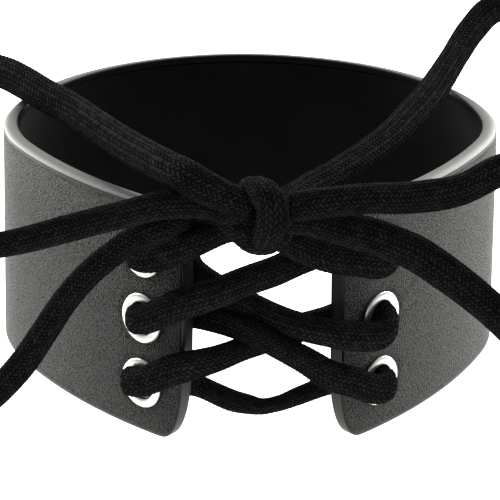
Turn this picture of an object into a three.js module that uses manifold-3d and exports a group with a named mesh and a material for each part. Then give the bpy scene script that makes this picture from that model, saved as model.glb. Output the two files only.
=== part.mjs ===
// Lace-up choker collar: a wide leather band, three pairs of metal eyelets and one braided lace tied in a bow.
// Millimetres, +Z up, front towards -Y. The origin is the middle of the neck opening, halfway up the band.
// Left and right are as seen from the front.
import * as THREE from "three";
import { mergeVertices } from "three/addons/utils/BufferGeometryUtils.js";
import Module from "manifold-3d";

const wasm = await Module();
wasm.setup();

// Band
const BAND_HEIGHT = 50.8;
const BAND_WALL = 3.4;
const BAND_FLARE = 1.2; // how much further out the bottom rim stands than the top rim
const END_REACH = 7; // length of the free end over which its outline curves back to the rims
const END_SQUARENESS = 2.8; // exponent of that superellipse
const RIM_CORNER = 1; // radius of the leather's rounded edges
const RIM_TURNS = [0, Math.PI / 4, Math.PI / 2];
const LINING_THICKNESS = 0.9;
const LINING_INSET = 1.6; // from each rim to the lining's edge
const LINING_FROM_END = 3.2;
const PIECE_GAP = 0.3;

// Plan of the band's outer face, from the back's middle to a free end: three arcs that meet smoothly
const BACK_RADIUS = 56;
const BACK_LENGTH = 81.5;
const SIDE_RADIUS = 41.1;
const SIDE_LENGTH = 23.4;
const FLAP_RADIUS = 125;
const FLAP_LENGTH = 57.7;
const HALF_LENGTH = BACK_LENGTH + SIDE_LENGTH + FLAP_LENGTH;
const BAND_STEP = 6;
const END_STATIONS = [0.015, 0.08, 0.22, 0.4, 0.65]; // where the curved end is cut, as shares of its reach

// Eyelets
const EYELET_FROM_END = 11.5;
const EYELET_PITCH = 14.5;
const EYELET_HOLE_RADIUS = 3.4;
const EYELET_BARREL_RADIUS = 3.8;
const EYELET_FLANGE_RADIUS = 5.4;
const EYELET_FLANGE_HEIGHT = 0.9;
const EYELET_ROLL_EDGE = 0.3; // height of the flange at its two edges, under its rounded top
const EYELET_ROLL_FLAT = 0.4; // half width of that top
const WASHER_RADIUS = 5.2;
const WASHER_EDGE = 0.4;
const WASHER_HEIGHT = 0.8;
const EYELET_SIDES = 16;
const EYELET_CUT_RADIUS = 4.25;

// Lace
const LACE_RADIUS = 3;
const LACE_SIDES = 8;
const LOOP_STEP = 11;
const END_STEP = 6;
const LACING_STEP = 3.4;
const OUT_BEND = 4.5; // lace axis over the outer face, clear of the eyelet
const IN_BEND = -BAND_WALL - 4.5; // and behind the inner face

// Bow knot
const KNOT_CENTRE = new THREE.Vector3(-3, -66.5, 28.7);
const KNOT_CORE = new THREE.Vector3(10, 7.6, 6.6);
const WRAP_CENTRE = new THREE.Vector3(0.8, -67.6, 28.6);
const WRAP_RADIUS = 4.7;
const WRAP_LEAN = 0.2;

const LEATHER = { color: 0x2c2b2a, roughness: 0.5, metalness: 0 };
const LINING = { color: 0x0d0d0d, roughness: 0.95, metalness: 0 };
const STEEL = { color: 0xd8d8d6, roughness: 0.15, metalness: 1 };
const CORD = { color: 0x121212, roughness: 0.9, metalness: 0 };

// Routes of the free stretches, axis points from the knot outwards
const LOOP_LEFT = [
  [-3.7, -70.5, 31.5], [-8.3, -71, 33.5], [-12.1, -70, 35.1], [-15.5, -67.8, 36.4], [-18.5, -63, 36.4],
  [-22.8, -52, 35], [-28.8, -32.5, 31.9], [-34.9, -15, 30.1], [-40.5, 0.2, 28.8], [-46.9, 11.2, 28.8],
  [-52.4, 21, 29], [-56.9, 28.5, 28.9], [-61.9, 36, 27.7], [-69, 41, 25.5], [-77, 41, 23],
  [-84.5, 35, 20.5], [-89, 25, 18.5], [-91, 12, 17], [-91, -3, 16], [-89, -18, 15.5],
  [-85, -33, 15.7], [-79, -46.5, 16.8], [-71, -57, 18.3], [-62, -63.5, 20.3], [-52, -66.5, 22.3],
  [-45.8, -67, 23.8], [-39, -67.5, 25.9], [-33, -68, 27.7], [-25.4, -69.4, 30.2], [-21.8, -69, 31],
  [-18.4, -67.2, 30.7], [-15.1, -65.2, 30.1], [-11.9, -63.6, 29.2], [-8.2, -63, 28.3], [-4.1, -63.5, 27.7],
];
const LOOP_RIGHT = [
  [1.1, -66, 30.2], [5.6, -58.5, 29.3], [10.1, -50.5, 28.8], [15.3, -42.5, 28.6], [22.6, -30.5, 28.5],
  [29.5, -17.7, 28.4], [35.6, -3.4, 28.4], [40.8, 9, 28.5], [46.1, 23.5, 29.1], [51.5, 37.5, 30.8],
  [57.3, 50, 33.7], [64, 58.5, 36.8], [74, 62, 36.8], [83.5, 58, 36.6], [90, 48.5, 35.6],
  [93.5, 36, 34.3], [95, 21, 33], [94.5, 5, 32], [92, -11, 31.4], [87.5, -27, 31.4],
  [81, -42, 33], [72, -54, 35], [61, -62, 37.2], [51, -65.3, 38], [44.9, -66, 36.9],
  [37.1, -67.2, 33.4], [27.1, -68.5, 32.3], [19.5, -70.5, 32.9], [12.9, -72, 32.9], [3.9, -72.2, 31.8],
];
const END_LEFT = [
  [-4.2, -65.5, 27.8], [-8.2, -62.5, 26.8], [-11.8, -59.4, 25.8], [-14.9, -59.2, 25.3], [-17.9, -62, 25.2],
  [-21.3, -63.8, 24.4], [-25.5, -63.2, 22.4], [-30.1, -62.2, 18.7], [-35, -61.4, 14.1], [-39.9, -60.5, 7.9],
  [-44.3, -59.6, 0.7], [-48.9, -58.8, -6.6], [-54.2, -58, -13], [-58, -57.5, -16.6], [-61.3, -57, -20.2],
  [-63.6, -56.5, -23.4],
];
const END_RIGHT = [
  [3, -67, 27.7], [7, -66.6, 27.4], [10.9, -66.6, 26.6], [13.8, -67, 25.8], [16.8, -67.5, 25.1],
  [19.8, -68.2, 24.6], [22.6, -69, 23.8], [25.5, -69.8, 22.8], [28.5, -70.8, 21.7], [34.6, -73, 18.1],
  [40.5, -75.2, 14], [45.4, -77, 10], [50, -78.4, 5.4], [54, -79.4, 0.6], [57, -80, -4],
];

// Stretches of the lacing that lie clear of the eyelets, axis points in the order in which the lace runs
const KNOT_TO_LEFT_TOP = [[-3.3, -64, 25.8], [-8.3, -62, 23.2], [-13.6, -62.8, 20.9], [-18.3, -61.8, 18.6]];
const LEFT_TOP_TO_RIGHT_MIDDLE = [
  [-14.2, -50.5, 9.9], [-10.2, -52.3, 7.4], [-5.1, -53.6, 4.9], [-0.6, -54.6, 2.9], [4.2, -58.2, 2.1],
  [9, -61.5, 1.7], [13.6, -63, 1.1], [17, -62.3, 0.1],
];
const RIGHT_MIDDLE_TO_LEFT_BOTTOM = [
  [13.5, -50.5, -1.2], [8.5, -52.4, -1.8], [4, -53.2, -3.2], [-0.1, -53.8, -4.4], [-4.6, -56.5, -4.9],
  [-9.7, -60.5, -5.2], [-14.1, -63, -5.6], [-18.1, -61.6, -7.2],
];
const LEFT_BOTTOM_TO_RIGHT_BOTTOM = [
  [-12.9, -48.6, -16.8], [-6, -49, -20], [0.4, -49.2, -21.4], [7.5, -49, -19.4], [14, -48.6, -16.8],
];
const RIGHT_BOTTOM_TO_LEFT_MIDDLE = [
  [17.9, -61.6, -10.3], [13.5, -63, -8.3], [8.6, -62.6, -5.1], [2.7, -60.6, -2.3], [-2.6, -57.6, -0.5],
  [-7.7, -54.2, 0.4], [-13.5, -50.5, 0.6],
];
const LEFT_MIDDLE_TO_RIGHT_TOP = [
  [-17.5, -62.2, 7], [-13.5, -63, 8.8], [-9, -62.4, 10.2], [-3.5, -61.2, 12.1], [2.1, -59.4, 13.5],
  [7.7, -54.8, 14.3], [13.7, -49.8, 14.5],
];
const RIGHT_TOP_TO_KNOT = [[18, -61.6, 16.2], [12.7, -63.2, 17.8], [8, -63, 19.7], [3.5, -63.5, 21.9]];

const group = new THREE.Group();

function addMesh(name, geometry, look) {
  const mesh = new THREE.Mesh(geometry, new THREE.MeshStandardMaterial(look));
  mesh.name = name;
  group.add(mesh);
}

// A closed geometry as a manifold-3d solid, and back.
function solidOf(geometry) {
  const bare = geometry.clone();
  bare.deleteAttribute("normal");
  bare.deleteAttribute("uv");
  const merged = mergeVertices(bare, 1e-4);
  return new wasm.Manifold(
    new wasm.Mesh({
      numProp: 3,
      vertProperties: merged.attributes.position.array,
      triVerts: new Uint32Array(merged.index.array),
    }),
  );
}

function geometryOf(solid) {
  const mesh = solid.getMesh();
  return new THREE.BufferGeometry()
    .setAttribute("position", new THREE.BufferAttribute(mesh.vertProperties, 3))
    .setIndex(new THREE.BufferAttribute(mesh.triVerts, 1));
}

// Point and heading of the band's plan at a distance from the back's middle, before it is centred.
function planAt(distance) {
  const place = { x: 0, y: 0, heading: 0 };
  let left = distance;
  for (const [radius, length] of [
    [BACK_RADIUS, BACK_LENGTH],
    [SIDE_RADIUS, SIDE_LENGTH],
    [FLAP_RADIUS, FLAP_LENGTH],
  ]) {
    const run = Math.min(left, length);
    const turn = run / radius;
    const chord = 2 * radius * Math.sin(turn / 2);
    place.x += chord * Math.cos(place.heading - turn / 2);
    place.y += chord * Math.sin(place.heading - turn / 2);
    place.heading -= turn;
    left -= run;
  }
  return place;
}

const HALF_DEPTH = -planAt(HALF_LENGTH).y / 2;

// Half height of the outline at a distance from the free end, where the outline starts at its own end.
function outlineHalfHeight(fromOwnEnd, halfHeight) {
  const left = Math.max(0, 1 - fromOwnEnd / END_REACH);
  return halfHeight * (1 - left ** END_SQUARENESS) ** (1 / END_SQUARENESS);
}

// A point of the wall: side is -1 on the left, fromEnd runs back from the free end, out is outward.
function wallPoint(side, fromEnd, z, out) {
  const place = planAt(HALF_LENGTH - fromEnd);
  const lean = BAND_FLARE * (0.5 - z / BAND_HEIGHT);
  const away = out + lean;
  return new THREE.Vector3(
    side * (place.x - Math.sin(place.heading) * away),
    place.y + HALF_DEPTH + Math.cos(place.heading) * away,
    z,
  );
}

function wallNormal(side, fromEnd) {
  const { heading } = planAt(HALF_LENGTH - fromEnd);
  const lean = BAND_FLARE / BAND_HEIGHT;
  return new THREE.Vector3(-side * Math.sin(heading), Math.cos(heading), lean).normalize();
}

// Closed body through rings of equal point counts, with a fan on each end.
function loft(rings) {
  const count = rings[0].length;
  const positions = [];
  const index = [];
  for (const point of rings.flat()) positions.push(point.x, point.y, point.z);
  for (let ring = 0; ring + 1 < rings.length; ring++) {
    for (let corner = 0; corner < count; corner++) {
      const a = ring * count + corner;
      const b = ring * count + ((corner + 1) % count);
      index.push(a, b, b + count, a, b + count, a + count);
    }
  }
  const last = (rings.length - 1) * count;
  for (let corner = 1; corner + 1 < count; corner++) {
    index.push(0, corner + 1, corner, last, last + corner, last + corner + 1);
  }
  return new THREE.BufferGeometry()
    .setAttribute("position", new THREE.Float32BufferAttribute(positions, 3))
    .setIndex(index);
}

// Wall section at one place along the band: over the top rim from the outer face, then round the bottom.
function wallRing(side, fromEnd, outer, thickness, halfHeight, corner) {
  const ring = [];
  const turns = corner ? RIM_TURNS : [0];
  for (const up of [1, -1]) {
    for (const facing of [up, -up]) {
      for (const turn of facing === up ? turns : turns.toReversed()) {
        const across = outer - thickness / 2 + facing * (thickness / 2 - corner + corner * Math.cos(turn));
        const z = up * (halfHeight - corner + corner * Math.sin(turn));
        ring.push(wallPoint(side, fromEnd, z, across));
      }
    }
  }
  return ring;
}

// A wall that runs from one free end round the back to the other. Its ends curve back to the rims, and
// all its edges are rounded with the corner's radius.
function wallGeometry({ outer, thickness, halfHeight, startFromEnd, corner }) {
  const first = startFromEnd + END_REACH;
  const steps = Math.round((HALF_LENGTH - first) / BAND_STEP);
  const places = END_STATIONS.map((share) => startFromEnd + END_REACH * share);
  for (let i = 0; i <= steps; i++) places.push(first + ((HALF_LENGTH - first) * i) / steps);
  const rings = (side, list) =>
    list.map((fromEnd) => {
      const own = fromEnd - startFromEnd;
      const drawnIn = corner - Math.sqrt(corner ** 2 - Math.max(0, corner - own) ** 2);
      const thin = thickness - 2 * drawnIn;
      return wallRing(side, fromEnd, outer - drawnIn, thin, outlineHalfHeight(own, halfHeight), corner);
    });
  return loft([...rings(-1, places), ...rings(1, places.slice(0, -1).reverse())]);
}

function eyeletPlace(side, row) {
  return {
    point: wallPoint(side, EYELET_FROM_END, -row * EYELET_PITCH, 0),
    normal: wallNormal(side, EYELET_FROM_END),
  };
}

// Stands a lathe or cylinder, whose axis is Y, on the wall with that axis along the wall's normal.
function placeOnWall(geometry, { point, normal }) {
  const turn = new THREE.Quaternion().setFromUnitVectors(new THREE.Vector3(0, 1, 0), normal);
  return geometry.applyQuaternion(turn).translate(point.x, point.y, point.z);
}

// Rolled flange outside, barrel through the wall, washer inside.
function eyeletGeometry(place) {
  const front = PIECE_GAP;
  const back = -BAND_WALL - PIECE_GAP;
  const crown = (EYELET_HOLE_RADIUS + EYELET_FLANGE_RADIUS) / 2;
  const profile = [
    [EYELET_BARREL_RADIUS, back],
    [WASHER_RADIUS, back],
    [WASHER_RADIUS, back - WASHER_EDGE],
    [crown, back - WASHER_HEIGHT],
    [EYELET_HOLE_RADIUS, back - WASHER_EDGE],
    [EYELET_HOLE_RADIUS, front + EYELET_ROLL_EDGE],
    [crown - EYELET_ROLL_FLAT, front + EYELET_FLANGE_HEIGHT],
    [crown + EYELET_ROLL_FLAT, front + EYELET_FLANGE_HEIGHT],
    [EYELET_FLANGE_RADIUS, front + EYELET_ROLL_EDGE],
    [EYELET_FLANGE_RADIUS, front],
    [EYELET_BARREL_RADIUS, front],
    [EYELET_BARREL_RADIUS, back],
  ].map(([radius, height]) => new THREE.Vector2(radius, height));
  return placeOnWall(new THREE.LatheGeometry(profile.reverse(), EYELET_SIDES), place);
}

function eyeletCutter(place) {
  const cutter = new THREE.CylinderGeometry(EYELET_CUT_RADIUS, EYELET_CUT_RADIUS, 4 * BAND_WALL, EYELET_SIDES);
  return placeOnWall(cutter, place);
}

function tube(points, radius, step) {
  const curve = new THREE.CatmullRomCurve3(points, false, "centripetal");
  const section = new THREE.Shape();
  for (let i = 0; i < LACE_SIDES; i++) {
    const angle = (2 * Math.PI * i) / LACE_SIDES;
    const corner = new THREE.Vector2(radius * Math.cos(angle), radius * Math.sin(angle));
    if (i) section.lineTo(corner.x, corner.y);
    else section.moveTo(corner.x, corner.y);
  }
  const steps = Math.round(curve.getLength() / step);
  return new THREE.ExtrudeGeometry(section, { steps, extrudePath: curve, bevelEnabled: false });
}

const vectors = (rows) => rows.map(([x, y, z]) => new THREE.Vector3(x, y, z));

// Axis points of the lace through one eyelet, from over the flange, through the hole, to behind the end.
function throughEyelet(side, row, frontRise, backRise) {
  const z = -row * EYELET_PITCH;
  const at = (nearer, up, out) => wallPoint(side, EYELET_FROM_END - nearer, z + up, out);
  return [
    at(4.6, frontRise, OUT_BEND),
    at(0.9, frontRise / 3, OUT_BEND - 0.6),
    at(-0.2, 0, 0.6),
    at(0, 0, -BAND_WALL / 2),
    at(-0.2, 0, -BAND_WALL - 0.6),
    at(0.9, backRise / 3, IN_BEND + 0.6),
    at(4.6, backRise, IN_BEND),
  ];
}

// The knot: strands drawn together in a core, with one turn of the lace wrapped over them.
function knotSolid(extra) {
  const core = new THREE.SphereGeometry(1, 14, 10);
  core.scale(KNOT_CORE.x + extra, KNOT_CORE.y + extra, KNOT_CORE.z + extra);
  core.translate(KNOT_CENTRE.x, KNOT_CENTRE.y, KNOT_CENTRE.z);
  const wrap = new THREE.TorusGeometry(WRAP_RADIUS, LACE_RADIUS + extra, LACE_SIDES, 16);
  wrap.rotateY(Math.PI / 2 + WRAP_LEAN);
  wrap.translate(WRAP_CENTRE.x, WRAP_CENTRE.y, WRAP_CENTRE.z);
  return solidOf(core).add(solidOf(wrap));
}

// Band and lining: the lining is let into the leather's inner face, and both are punched for the eyelets.
const eyelets = [];
for (const side of [-1, 1]) {
  for (const row of [-1, 0, 1]) eyelets.push({ side, row, ...eyeletPlace(side, row) });
}
const lining = {
  outer: -BAND_WALL + LINING_THICKNESS,
  thickness: LINING_THICKNESS,
  halfHeight: BAND_HEIGHT / 2 - LINING_INSET,
  startFromEnd: LINING_FROM_END,
  corner: 0,
};
const recess = {
  outer: lining.outer + PIECE_GAP,
  thickness: LINING_THICKNESS + 3 * PIECE_GAP,
  halfHeight: lining.halfHeight + PIECE_GAP,
  startFromEnd: LINING_FROM_END - PIECE_GAP,
  corner: 0,
};
let bandSolid = solidOf(
  wallGeometry({
    outer: 0,
    thickness: BAND_WALL,
    halfHeight: BAND_HEIGHT / 2,
    startFromEnd: 0,
    corner: RIM_CORNER,
  }),
).subtract(solidOf(wallGeometry(recess)));
let liningSolid = solidOf(wallGeometry(lining));
for (const eyelet of eyelets) {
  const cutter = solidOf(eyeletCutter(eyelet));
  bandSolid = bandSolid.subtract(cutter);
  liningSolid = liningSolid.subtract(cutter);
}
addMesh("collar_band", geometryOf(bandSolid), LEATHER);
addMesh("collar_lining", geometryOf(liningSolid), LINING);

for (const eyelet of eyelets) {
  const sideName = eyelet.side < 0 ? "left" : "right";
  const rowName = ["top", "middle", "bottom"][eyelet.row + 1];
  addMesh(`eyelet_${sideName}_${rowName}`, eyeletGeometry(eyelet), STEEL);
}

// Lace: the knot, the lacing through the six eyelets, the two loops and the two free ends
addMesh("bow_knot", geometryOf(knotSolid(0)), CORD);
let taken = knotSolid(PIECE_GAP); // room held by the lace so far: a later stretch is pressed flat against it

const lacingPath = [
  ...vectors(KNOT_TO_LEFT_TOP),
  ...throughEyelet(-1, -1, 1.2, -1.2),
  ...vectors(LEFT_TOP_TO_RIGHT_MIDDLE),
  ...throughEyelet(1, 0, -1.6, -0.6),
  ...vectors(RIGHT_MIDDLE_TO_LEFT_BOTTOM),
  ...throughEyelet(-1, 1, 2.8, -0.6),
  ...vectors(LEFT_BOTTOM_TO_RIGHT_BOTTOM),
  ...throughEyelet(1, 1, 1.4, -0.6).reverse(),
  ...vectors(RIGHT_BOTTOM_TO_LEFT_MIDDLE),
  ...throughEyelet(-1, 0, 2, 0.4).reverse(),
  ...vectors(LEFT_MIDDLE_TO_RIGHT_TOP),
  ...throughEyelet(1, -1, -0.4, 0.4).reverse(),
  ...vectors(RIGHT_TOP_TO_KNOT),
];

function addLace(name, points, step) {
  addMesh(name, geometryOf(solidOf(tube(points, LACE_RADIUS, step)).subtract(taken)), CORD);
  taken = taken.add(solidOf(tube(points, LACE_RADIUS + PIECE_GAP, step)));
}

addLace("bow_loop_left", vectors(LOOP_LEFT), LOOP_STEP);
addLace("bow_loop_right", vectors(LOOP_RIGHT), LOOP_STEP);
addLace("lace_end_left", vectors(END_LEFT), END_STEP);
addLace("lace_end_right", vectors(END_RIGHT), END_STEP);
addLace("lacing", lacingPath, LACING_STEP);

export default group;
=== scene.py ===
"""Looks of the lace-up choker collar: grained leather, black lining, bright eyelets and a braided lace."""

import math

import bpy
import numpy as np
from mathutils import Matrix, Vector


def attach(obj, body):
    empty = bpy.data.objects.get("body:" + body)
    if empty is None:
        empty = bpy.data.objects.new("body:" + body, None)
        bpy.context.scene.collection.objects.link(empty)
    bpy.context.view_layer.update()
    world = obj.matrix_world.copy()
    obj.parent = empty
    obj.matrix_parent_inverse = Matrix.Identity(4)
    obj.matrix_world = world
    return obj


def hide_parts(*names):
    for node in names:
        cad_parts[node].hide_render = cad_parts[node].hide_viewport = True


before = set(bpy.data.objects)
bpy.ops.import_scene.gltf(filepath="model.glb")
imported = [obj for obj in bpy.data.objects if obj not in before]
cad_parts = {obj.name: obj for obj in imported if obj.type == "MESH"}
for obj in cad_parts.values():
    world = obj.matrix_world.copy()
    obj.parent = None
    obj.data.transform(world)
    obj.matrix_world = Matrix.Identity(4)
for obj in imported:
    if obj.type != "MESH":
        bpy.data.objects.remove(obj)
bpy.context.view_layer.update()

MM = 0.001

# Camera, fitted to the band's rims: it looks down on the front from a little to the left
CAMERA_TARGET = Vector((-0.011, 0, -5.275)) * MM
CAMERA_DISTANCE = 456.4 * MM
CAMERA_ELEVATION = 0.37462
CAMERA_YAW = -0.05059
CAMERA_ROLL = 0.01205
CAMERA_LENS = 142.056

# Band, as in the CAD part
BAND_HEIGHT = 50.8
BAND_WALL = 3.4
BAND_FLARE = 1.2
END_REACH = 7
END_SQUARENESS = 2.8
PLAN_ARCS = ((56, 81.5), (41.1, 23.4), (125, 57.7))  # radius and length, from the back's middle to a free end
HALF_LENGTH = sum(length for _, length in PLAN_ARCS)
LINING_THICKNESS = 0.9
LINING_INSET = 1.6
LINING_FROM_END = 3.2
RECESS_GAP = 0.06  # between the lining's edge and the leather

# Band's soft form. Side is -1 on the left and 1 on the right.
RIM_OUTER = (2.8, 0.95)  # the rim's rounding, across the wall and down it, from its crest to the outer face
RIM_INNER = (0.6, 0.7)  # and from there to the inner face
END_CORNER = 0.5  # radius of the rounding on the free ends
END_SHIFT = {-1: 0.3, 1: -0.6}  # how far each free end of the soft band has moved back
END_SHIFT_REACH = 8
BACK_RISE = 0.4  # how much higher the rim stands in the middle of the back
CREASE_DROP = 1.3  # from the rim's top to the middle of the crease under it
CREASE_WIDTH = 0.5
CREASE_DEPTH = 0.1

# Where the leather is smooth, and where shade is painted on it
SMOOTH_BOTTOM = 0.9  # how far up from the bottom edge it is smooth
SMOOTH_END = 1.2  # how far in from a free end it is smooth
SMOOTH_FADE = 0.5
END_SHADE = 0.5  # painted shade: how much darker the cut face of a free end is drawn
END_SHADE_REACH = 0.4
INSIDE_SHADE = 1.3  # painted shade as END_SHADE, on the rims and the inner face near a free end: 1 or more there is full
INSIDE_SHADE_REACH = 5  # over which it falls by 1
TURNED_FROM = 0.7  # where painted shade starts on the inner rim, from the wall's middle, in half walls
TURNED_OVER = 0.3  # over how much of a half wall

# How finely the wall is drawn
BAND_STEP = 0.8
LINING_STEP = 1.6
LINING_ROWS = 31
FACE_SHARES = np.sin(np.linspace(-math.pi / 2, math.pi / 2, 97))  # close together near the rims
INNER_SHARES = np.linspace(1, -1, 25)
RIM_TURNS = np.linspace(0, math.pi / 2, 8)
END_SHARES = np.array((0.002, 0.01, 0.025, 0.05, 0.08, 0.12, 0.17, 0.23, 0.3, 0.38, 0.47, 0.57, 0.68, 0.8))

# Eyelets, as in the CAD part. Row is -1 at the top and 1 at the bottom.
EYELET_FROM_END = 11.5
EYELET_PITCH = 14.5
EYELET_HOLE = 3.4
EYELET_FLANGE = 5.4
EYELET_CUT = 4.25
EYELETS = [(side, row) for side in (-1, 1) for row in (-1, 0, 1)]
SIDE_NAMES = {-1: "left", 1: "right"}
ROW_NAMES = {-1: "top", 0: "middle", 1: "bottom"}
EYELET_BARREL = 3.8  # outer radius of the barrel in the wall

# Eyelets' soft form
EYELET_SIDES = 64
EYELET_DENT = 0.35  # how far the flange presses into the leather
DENT_EDGE = 0.5  # how far past the flange the dent runs out
DENT_FADE = 0.35
DENT_REACH = 9  # from the eyelet's axis
DENT_SKIN = 1.2  # how deep under the outer face the leather moves
FLANGE_RISE = 0.7
FLANGE_ROUNDNESS = 0.45  # less is flatter on top
WASHER_RISE = 0.55
WASHER_ROUNDNESS = 0.8
WASHER_NARROWER = 0.2
METAL_GAP = 0.05  # between the metal's edges and the leather
PROFILE_POINTS = 17
PUNCH_SIDES = 40
PUNCH_DEPTH = 6

# Lace
LACE_SIDES = 54
LACE_STEP = 0.3
LACE_THICKNESS = 4.6
LACE_SQUARENESS = 2.35  # 2 is an ellipse
CURVE_PARTS = 24  # chords between two points of a route, before it is spaced evenly
BARE_END_REACH = 1.8  # over how much of its length a cut end is rounded
BARE_END_LEAST = 0.09  # square of the share of its width that is left at the tip
STITCHES_AROUND = 12
STITCH_LENGTH = 0.95
STITCH_LEAN = 0.85  # how far a stitch's arms run back along the lace, in stitches
STITCH_RELIEF = 0.25
STITCH_MEAN = 0.5  # taken off, so that the relief goes both out and in
ARM_CROWN = 0.4  # how much of a stitch's height rises from its arm's edges to the arm's middle
LEAST_SLANT = 0.6  # at which stitches are longest
EYELET_LACE = 6.1  # width of the lace in and over the eyelets
OUT_BEND = 3.7  # axis of the lace over the outer face
IN_BEND = -BAND_WALL - 3.7  # and behind the inner face

# Looks. Scales are in cells per metre, shades are places on a ramp with the grey there.
WARMTH = 0.01  # how much warmer than grey
STITCH_WANDER = 0.6  # how far stitches are shifted along the lace, in stitches
WANDER_SCALE = 700
ARM_SHARE = 0.6  # how much of a yarn's height and painted brightness rises from its arm's edges to the arm's middle
YARN_POWER = 1.6
YARN_HEIGHT = 0.75
# Painted light and shade: how much lighter the stitches' tops are coloured than the grooves between them
YARN_PAINTED_SHADING = 0.6
LOT_SHADE = 0.22  # how much one stitch differs from the next
FUZZ_SCALE = 4200
BLOTCH_SCALE = 260
BLOTCH_SHADE = 0.15
BRAID_SHADES = ((0.35, 0.0045), (0.62, 0.0095), (0.95, 0.032))
BRAID_BUMP = 0.16 * MM
BRAID_SHEEN = (0.72, 0.71, 0.69, 1)
PEBBLE_SCALE = 2500
PEBBLE_SHARE = 0.6
FINE_GRAIN_SCALE = 4200
CLOUD_SCALE = 55
CLOUD_SHADE = 0.3
LEATHER_SHADES = ((0.3, 0.006), (0.7, 0.019))
LEATHER_BUMP = 2 * MM
# Painted shade on the inner rim and near the free ends: a darker grey, matte and with little shine
PAINTED_SHADE_GREY = 0.006
GRAIN_ROUGHNESS = 0.5
SMOOTH_ROUGHNESS = 0.44
PAINTED_SHADE_ROUGHNESS = 0.9
GRAIN_SHINE = (0.04, 0.76)  # in the grain's valleys and on its tops
SMOOTH_SHINE = 0.52
# Painted shade in the crease under the rim: the share of the shine left there
CREASE_PAINTED_SHADE = 0.5
PAINTED_SHADE_SHINE = 0.05
NAP_SCALE = 3000
NAP_SHARE = 0.6
NAP_CLOUD_SCALE = 60
NAP_SHADES = ((0.3, 0.0033), (0.75, 0.0072))
NAP_SHINE = 0.06
NAP_BUMP = 0.1 * MM
HAZE_SCALE = 700
NICKEL_SHADES = ((0.3, 0.9), (0.7, 0.94))
NICKEL_ROUGHNESS = (0.34, 0.38)
FLOOR_CLOUD_SCALE = 2
FLOOR_SHADES = ((0.0, 0.9), (1.0, 0.93))

# Studio, in metres and watts. Each light is aimed at the collar: name, place, size and power.
LIGHT_COLOR = (1, 0.985, 0.94)
LIGHTS = (
    ("side_left", (-0.9, 0.95, 0.5), (1, 0.9), 36),
    ("side_right", (0.9, 0.95, 0.5), (1, 0.9), 36),
    ("back", (0, 1.25, 0.5), (0.7, 0.5), 3),
)
WORLD_STRENGTH = 0.42
FLOOR_Z = -0.24
FLOOR_REACH = 4

# The lace's routes, as in the CAD part, from the knot outwards
LOOP_LEFT = (
    (-3.7, -70.5, 31.5), (-8.3, -71, 33.5), (-12.1, -70, 35.1), (-15.5, -67.8, 36.4), (-18.5, -63, 36.4),
    (-22.8, -52, 35), (-28.8, -32.5, 31.9), (-34.9, -15, 30.1), (-40.5, 0.2, 28.8), (-46.9, 11.2, 28.8),
    (-52.4, 21, 29), (-56.9, 28.5, 28.9), (-61.9, 36, 27.7), (-69, 41, 25.5), (-77, 41, 23),
    (-84.5, 35, 20.5), (-89, 25, 18.5), (-91, 12, 17), (-91, -3, 16), (-89, -18, 15.5),
    (-85, -33, 15.7), (-79, -46.5, 16.8), (-71, -57, 18.3), (-62, -63.5, 20.3), (-52, -66.5, 22.3),
    (-45.8, -67, 23.8), (-39, -67.5, 25.9), (-33, -68, 27.7), (-25.4, -69.4, 30.2), (-21.8, -69, 31),
    (-18.4, -67.2, 30.7), (-15.1, -65.2, 30.1), (-11.9, -63.6, 29.2), (-8.2, -63, 28.3), (-4.1, -63.5, 27.7),
)
LOOP_RIGHT = (
    (1.1, -66, 30.2), (5.6, -58.5, 29.3), (10.1, -50.5, 28.8), (15.3, -42.5, 28.6), (22.6, -30.5, 28.5),
    (29.5, -17.7, 28.4), (35.6, -3.4, 28.4), (40.8, 9, 28.5), (46.1, 23.5, 29.1), (51.5, 37.5, 30.8),
    (57.3, 50, 33.7), (64, 58.5, 36.8), (74, 62, 36.8), (83.5, 58, 36.6), (90, 48.5, 35.6),
    (93.5, 36, 34.3), (95, 21, 33), (94.5, 5, 32), (92, -11, 31.4), (87.5, -27, 31.4),
    (81, -42, 33), (72, -54, 35), (61, -62, 37.2), (51, -65.3, 38), (44.9, -66, 36.9),
    (37.1, -67.2, 33.4), (27.1, -68.5, 32.3), (19.5, -70.5, 32.9), (12.9, -72, 32.9), (3.9, -72.2, 31.8),
)
END_LEFT = (
    (-4.2, -65.5, 27.8), (-8.2, -62.5, 26.8), (-11.8, -59.4, 25.8), (-14.9, -59.2, 25.3), (-17.9, -62, 25.2),
    (-21.3, -63.8, 24.4), (-25.5, -63.2, 22.4), (-30.1, -62.2, 18.7), (-35, -61.4, 14.1), (-39.9, -60.5, 7.9),
    (-44.3, -59.6, 0.7), (-48.9, -58.8, -6.6), (-54.2, -58, -13), (-58, -57.5, -16.6), (-61.3, -57, -20.2),
    (-63.6, -56.5, -23.4),
)
END_RIGHT = (
    (3, -67, 27.7), (7, -66.6, 27.4), (10.9, -66.6, 26.6), (13.8, -67, 25.8), (16.8, -67.5, 25.1),
    (19.8, -68.2, 24.6), (22.6, -69, 23.8), (25.5, -69.8, 22.8), (28.5, -70.8, 21.7), (34.6, -73, 18.1),
    (40.5, -75.2, 14), (45.4, -77, 10), (50, -78.4, 5.4), (54, -79.4, 0.6), (57, -80, -4),
)

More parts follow.
